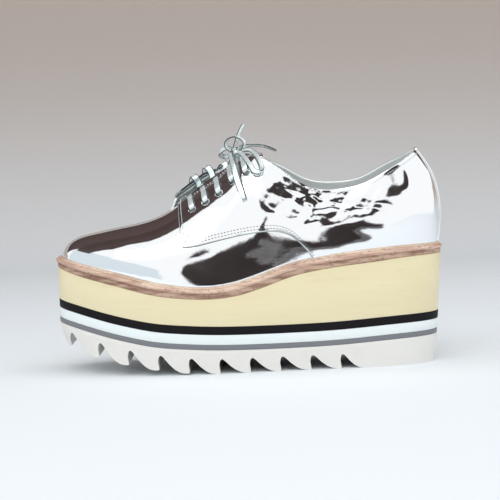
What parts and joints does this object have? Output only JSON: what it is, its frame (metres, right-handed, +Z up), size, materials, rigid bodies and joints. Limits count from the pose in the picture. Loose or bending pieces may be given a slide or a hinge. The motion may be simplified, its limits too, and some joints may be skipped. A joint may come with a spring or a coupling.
{
  "type": "platform lace-up shoe",
  "caption": "Women's lace-up derby shoe in mirror silver on a layered high platform with a pale wood look and a saw-tooth rubber outsole.",
  "frame": {"origin": "on the floor under the middle of the shoe's length and width, measured without the loose lace", "axes": "+X towards the heel, toe at -X, +Y towards the inner (medial) side, +Z up"},
  "size_m": [0.2709, 0.0944, 0.1693],
  "materials": {
    "outsole": "matt off-white rubber",
    "grey_layer": "matt",
    "white_layer": "matt",
    "black_layer": "matt",
    "wood_platform": "satin pale wood",
    "tan_welt": "grained tan leather",
    "insole_leather": "smooth",
    "mirror_leather": "metallic silver mirror foil",
    "silver_lace": "metallic silver"
  },
  "bodies": {
    "root": {"outsole": "outsole", "midsole_grey": "grey_layer", "midsole_white": "white_layer", "midsole_black": "black_layer", "platform": "wood_platform", "welt": "tan_welt", "insole": "insole_leather", "upper": "mirror_leather", "quarter_lateral": "mirror_leather", "quarter_medial": "mirror_leather", "back_strip": "mirror_leather", "tongue": "mirror_leather", "lace_crossings": "silver_lace", "lace_knot": "silver_lace", "lace_ring": "silver_lace", "lace_loop_near": "silver_lace", "lace_loop_far": "silver_lace", "lace_end_up": "silver_lace", "lace_end_right": "silver_lace", "lace_end_near": "silver_lace"}
  },
  "joints": []
}
